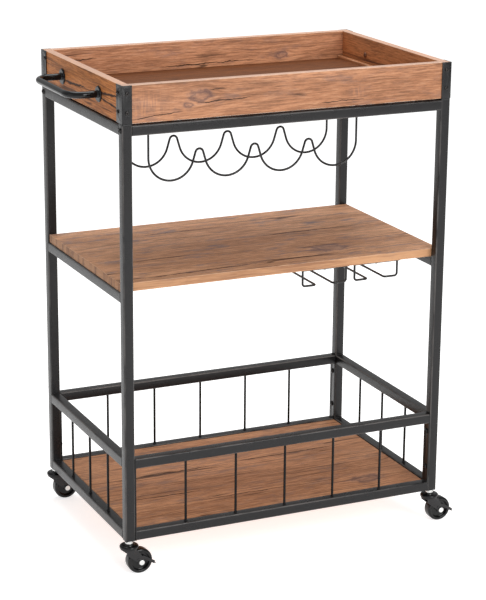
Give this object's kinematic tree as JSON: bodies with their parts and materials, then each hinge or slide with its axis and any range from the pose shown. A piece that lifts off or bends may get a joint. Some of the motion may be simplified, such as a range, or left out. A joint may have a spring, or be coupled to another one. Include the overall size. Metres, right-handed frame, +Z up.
{
  "type": "bar cart on wheels",
  "caption": "Rolling bar cart: square-tube steel frame on swivel casters, lift-off wooden tray with handles, bottle rack, shelf with stemware channels, and a railed lower shelf.",
  "frame": {"origin": "centre of the footprint, on the floor", "axes": "+Z up; +X along the cart's length, towards the side where the stemware channels are; +Y from the front to the rear"},
  "size_m": [0.732, 0.416, 0.867],
  "materials": {
    "frame_steel": "matte black powder coat with a fine texture",
    "wire": "matte black powder coat on round wire",
    "handle_black": "satin black enamel",
    "black_bolt": "black oxide, satin",
    "black_plastic": "moulded black polyethylene",
    "board": "rustic brown wood grain with dark cracks, low sheen",
    "zinc": "bright zinc plating",
    "caster_black": "gloss black enamel on pressed steel",
    "fork_steel": "dark grey enamel on pressed steel",
    "wheel_black": "glossy black moulded plastic"
  },
  "bodies": {
    "frame": {"post_front_left": "frame_steel", "post_front_right": "frame_steel", "post_rear_left": "frame_steel", "post_rear_right": "frame_steel", "top_rail_left": "frame_steel", "top_rail_right": "frame_steel", "top_rail_front": "frame_steel", "top_rail_rear": "frame_steel", "shelf_rail_left": "frame_steel", "shelf_rail_right": "frame_steel", "guard_rail_left": "frame_steel", "guard_rail_right": "frame_steel", "guard_rail_front": "frame_steel", "guard_rail_rear": "frame_steel", "bottom_rail_left": "frame_steel", "bottom_rail_right": "frame_steel", "bottom_rail_front": "frame_steel", "bottom_rail_rear": "frame_steel", "spindles": "frame_steel", "panel_plates": "frame_steel", "frame_bolts": "black_bolt", "post_caps": "black_plastic", "middle_shelf": "board", "lower_shelf": "board", "shelf_tabs": "frame_steel", "wood_screws": "black_bolt", "bottle_wire_front": "wire", "bottle_wire_rear": "wire", "stem_wire_left": "wire", "stem_wire_right": "wire", "bottle_crossbars": "frame_steel", "stem_straps": "frame_steel", "stem_sockets": "black_plastic", "caster_stems": "zinc", "race_cups": "caster_black"},
    "tray": {"tray_wall_front": "board", "tray_wall_rear": "board", "tray_wall_left": "board", "tray_wall_right": "board", "tray_floor": "board", "tray_battens": "board", "tray_brackets": "frame_steel", "bracket_screws": "black_bolt", "handle_left": "handle_black", "handle_right": "handle_black", "handle_screws": "black_bolt"},
    "caster_front_left": {"fork_front_left": "fork_steel", "axle_front_left": "zinc"},
    "roller_front_left": {"wheel_front_left": "wheel_black"},
    "lever_front_left": {"brake_front_left": "fork_steel"},
    "caster_front_right": {"fork_front_right": "fork_steel", "axle_front_right": "zinc"},
    "roller_front_right": {"wheel_front_right": "wheel_black"},
    "lever_front_right": {"brake_front_right": "fork_steel"},
    "caster_rear_left": {"fork_rear_left": "fork_steel", "axle_rear_left": "zinc"},
    "roller_rear_left": {"wheel_rear_left": "wheel_black"},
    "caster_rear_right": {"fork_rear_right": "fork_steel", "axle_rear_right": "zinc"},
    "roller_rear_right": {"wheel_rear_right": "wheel_black"}
  },
  "joints": [
    {"name": "tray_lift", "type": "slide", "parent": "frame", "child": "tray", "axis": [0, 0, 1], "range_m": [0, 0.12]},
    {"name": "swivel_front_left", "type": "hinge", "parent": "frame", "child": "caster_front_left", "pos_m": [-0.301, -0.191, 0.05], "axis": [0, 0, 1], "continuous": true},
    {"name": "spin_front_left", "type": "hinge", "parent": "caster_front_left", "child": "roller_front_left", "pos_m": [-0.283, -0.191, 0.023], "axis": [0, 1, 0], "continuous": true},
    {"name": "brake_front_left", "type": "hinge", "parent": "caster_front_left", "child": "lever_front_left", "pos_m": [-0.288, -0.191, 0.028], "axis": [0, 1, 0], "range_deg": [0, 12]},
    {"name": "swivel_front_right", "type": "hinge", "parent": "frame", "child": "caster_front_right", "pos_m": [0.301, -0.191, 0.05], "axis": [0, 0, 1], "continuous": true},
    {"name": "spin_front_right", "type": "hinge", "parent": "caster_front_right", "child": "roller_front_right", "pos_m": [0.319, -0.191, 0.023], "axis": [0, 1, 0], "continuous": true},
    {"name": "brake_front_right", "type": "hinge", "parent": "caster_front_right", "child": "lever_front_right", "pos_m": [0.314, -0.191, 0.028], "axis": [0, 1, 0], "range_deg": [0, 12]},
    {"name": "swivel_rear_left", "type": "hinge", "parent": "frame", "child": "caster_rear_left", "pos_m": [-0.301, 0.191, 0.05], "axis": [0, 0, 1], "continuous": true},
    {"name": "spin_rear_left", "type": "hinge", "parent": "caster_rear_left", "child": "roller_rear_left", "pos_m": [-0.283, 0.191, 0.023], "axis": [0, 1, 0], "continuous": true},
    {"name": "swivel_rear_right", "type": "hinge", "parent": "frame", "child": "caster_rear_right", "pos_m": [0.301, 0.191, 0.05], "axis": [0, 0, 1], "continuous": true},
    {"name": "spin_rear_right", "type": "hinge", "parent": "caster_rear_right", "child": "roller_rear_right", "pos_m": [0.319, 0.191, 0.023], "axis": [0, 1, 0], "continuous": true}
  ]
}
